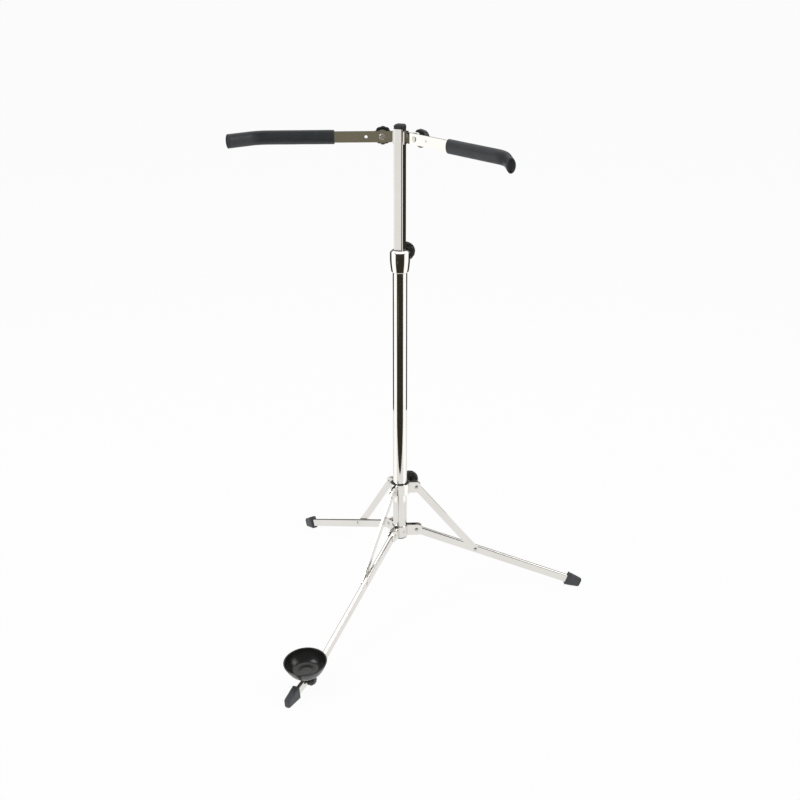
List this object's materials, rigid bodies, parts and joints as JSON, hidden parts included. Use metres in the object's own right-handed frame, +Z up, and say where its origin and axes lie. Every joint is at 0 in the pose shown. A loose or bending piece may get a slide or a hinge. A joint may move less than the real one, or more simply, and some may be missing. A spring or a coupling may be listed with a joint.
{
  "type": "instrument stand",
  "caption": "Folding tripod stand for a wind instrument: a height-adjustable post with two rubber-sleeved support arms and a cup on the long front leg.",
  "frame": {"origin": "on the floor, at the middle of the footprint box; the post stands behind it", "axes": "+Z up along the post; -Y towards the long front leg and its cup; +X to the stand's right arm seen from the cup side"},
  "size_m": [0.5918, 0.583, 0.8585],
  "materials": {
    "nickel_plate": "bright nickel plate on steel, slightly warm",
    "bright_steel": "plated screws and rivets",
    "sleeve_rubber": "satin blue-black foam rubber hose",
    "foot_rubber": "matt black rubber",
    "black_plastic": "fine-grained moulded black plastic",
    "cup_plastic": "satin moulded black plastic",
    "guide_plastic": "black nylon"
  },
  "bodies": {
    "base": {"lower_tube": "nickel_plate", "tube_plug": "black_plastic", "collar": "nickel_plate", "collar_bush": "guide_plastic", "hub_rivets": "bright_steel", "hub_plate_right": "nickel_plate", "hub_plate_back": "nickel_plate", "hub_plate_left": "nickel_plate", "hub_pivot_front": "bright_steel", "hub_pivot_right": "bright_steel", "hub_pivot_left": "bright_steel"},
    "runner": {"runner_bush": "guide_plastic", "runner_boss": "nickel_plate", "runner_plate_right": "nickel_plate", "runner_plate_back": "nickel_plate", "runner_plate_left": "nickel_plate", "runner_pivot_front": "bright_steel", "runner_pivot_right": "bright_steel", "runner_pivot_left": "bright_steel"},
    "runner_knob": {"runner_knob": "black_plastic", "runner_screw": "bright_steel"},
    "height_knob": {"height_knob": "black_plastic", "height_screw": "bright_steel"},
    "mast": {"square_tube": "nickel_plate", "top_cap": "black_plastic", "arm_bracket": "nickel_plate", "bracket_rivet": "bright_steel", "arm_bolt_left": "bright_steel", "arm_bolt_right": "bright_steel", "arm_washer_left": "bright_steel", "arm_washer_right": "bright_steel"},
    "cup": {"cup": "cup_plastic", "cup_clamp": "cup_plastic"},
    "cup_knob": {"cup_knob": "black_plastic", "cup_screw": "bright_steel"},
    "arm_left": {"arm_left": "nickel_plate", "sleeve_left": "sleeve_rubber"},
    "arm_knob_left": {"arm_knob_left": "black_plastic"},
    "arm_right": {"arm_right": "nickel_plate", "sleeve_right": "sleeve_rubber"},
    "arm_knob_right": {"arm_knob_right": "black_plastic"},
    "leg_front": {"leg_front": "nickel_plate", "leg_rivet_front": "bright_steel", "foot_cap_front": "foot_rubber"},
    "strut_front": {"strut_front": "nickel_plate", "strut_rivet_front": "bright_steel"},
    "leg_right": {"leg_right": "nickel_plate", "leg_rivet_right": "bright_steel", "foot_cap_right": "foot_rubber"},
    "strut_right": {"strut_right": "nickel_plate", "strut_rivet_right": "bright_steel"},
    "leg_left": {"leg_left": "nickel_plate", "leg_rivet_left": "bright_steel", "foot_cap_left": "foot_rubber"},
    "strut_left": {"strut_left": "nickel_plate", "strut_rivet_left": "bright_steel"}
  },
  "joints": [
    {"name": "runner_slide", "type": "slide", "parent": "base", "child": "runner", "axis": [0, 0, 1], "range_m": [0, 0.195]},
    {"name": "leg_fold_front", "type": "hinge", "parent": "base", "child": "leg_front", "pos_m": [0, 0.09002, 0.13], "axis": [-1, 0, 0], "range_deg": [0, 99.59]},
    {"name": "strut_fold_front", "type": "hinge", "parent": "runner", "child": "strut_front", "pos_m": [0, 0.09002, 0.2135], "axis": [1, 0, 0], "range_deg": [0, 32.09]},
    {"name": "leg_fold_right", "type": "hinge", "parent": "base", "child": "leg_right", "pos_m": [0.02598, 0.13502, 0.13], "axis": [0.5, -0.866, 0], "range_deg": [0, 99.59]},
    {"name": "strut_fold_right", "type": "hinge", "parent": "runner", "child": "strut_right", "pos_m": [0.02598, 0.13502, 0.2135], "axis": [-0.5, 0.866, 0], "range_deg": [0, 32.09]},
    {"name": "leg_fold_left", "type": "hinge", "parent": "base", "child": "leg_left", "pos_m": [-0.02598, 0.13502, 0.13], "axis": [0.5, 0.866, 0], "range_deg": [0, 99.59]},
    {"name": "strut_fold_left", "type": "hinge", "parent": "runner", "child": "strut_left", "pos_m": [-0.02598, 0.13502, 0.2135], "axis": [-0.5, -0.866, 0], "range_deg": [0, 32.09]},
    {"name": "runner_knob_turn", "type": "hinge", "parent": "runner", "child": "runner_knob", "pos_m": [0, 0.16002, 0.2135], "axis": [0, 1, 0], "continuous": true},
    {"name": "height_slide", "type": "slide", "parent": "base", "child": "mast", "axis": [0, 0, 1], "range_m": [-0.155, 0.12]},
    {"name": "height_knob_turn", "type": "hinge", "parent": "base", "child": "height_knob", "pos_m": [0, 0.14202, 0.643], "axis": [0, 1, 0], "continuous": true},
    {"name": "arm_fold_left", "type": "hinge", "parent": "mast", "child": "arm_left", "pos_m": [-0.02912, 0.11402, 0.837], "axis": [0.3811, -0.9245, 0], "range_deg": [-30, 80]},
    {"name": "arm_knob_turn_left", "type": "hinge", "parent": "mast", "child": "arm_knob_left", "pos_m": [-0.02912, 0.11402, 0.837], "axis": [-0.3811, 0.9245, 0], "continuous": true},
    {"name": "arm_fold_right", "type": "hinge", "parent": "mast", "child": "arm_right", "pos_m": [0.02912, 0.11402, 0.837], "axis": [0.3811, 0.9245, 0], "range_deg": [-30, 80]},
    {"name": "arm_knob_turn_right", "type": "hinge", "parent": "mast", "child": "arm_knob_right", "pos_m": [0.02912, 0.11402, 0.837], "axis": [0.3811, 0.9245, 0], "continuous": true},
    {"name": "cup_slide", "type": "slide", "parent": "leg_front", "child": "cup", "axis": [0, -0.99, -0.1409], "range_m": [-0.03, 0.015]},
    {"name": "cup_knob_turn", "type": "hinge", "parent": "cup", "child": "cup_knob", "pos_m": [0, -0.22637, 0.01612], "axis": [1, 0, 0], "continuous": true}
  ],
  "couplings": [
    {"joint": "leg_fold_front", "follows": "runner_slide", "rad_per_m": 8.8694},
    {"joint": "strut_fold_front", "follows": "runner_slide", "rad_per_m": 2.8277},
    {"joint": "leg_fold_right", "follows": "runner_slide", "rad_per_m": 8.8694},
    {"joint": "strut_fold_right", "follows": "runner_slide", "rad_per_m": 2.8277},
    {"joint": "leg_fold_left", "follows": "runner_slide", "rad_per_m": 8.8694},
    {"joint": "strut_fold_left", "follows": "runner_slide", "rad_per_m": 2.8277}
  ]
}
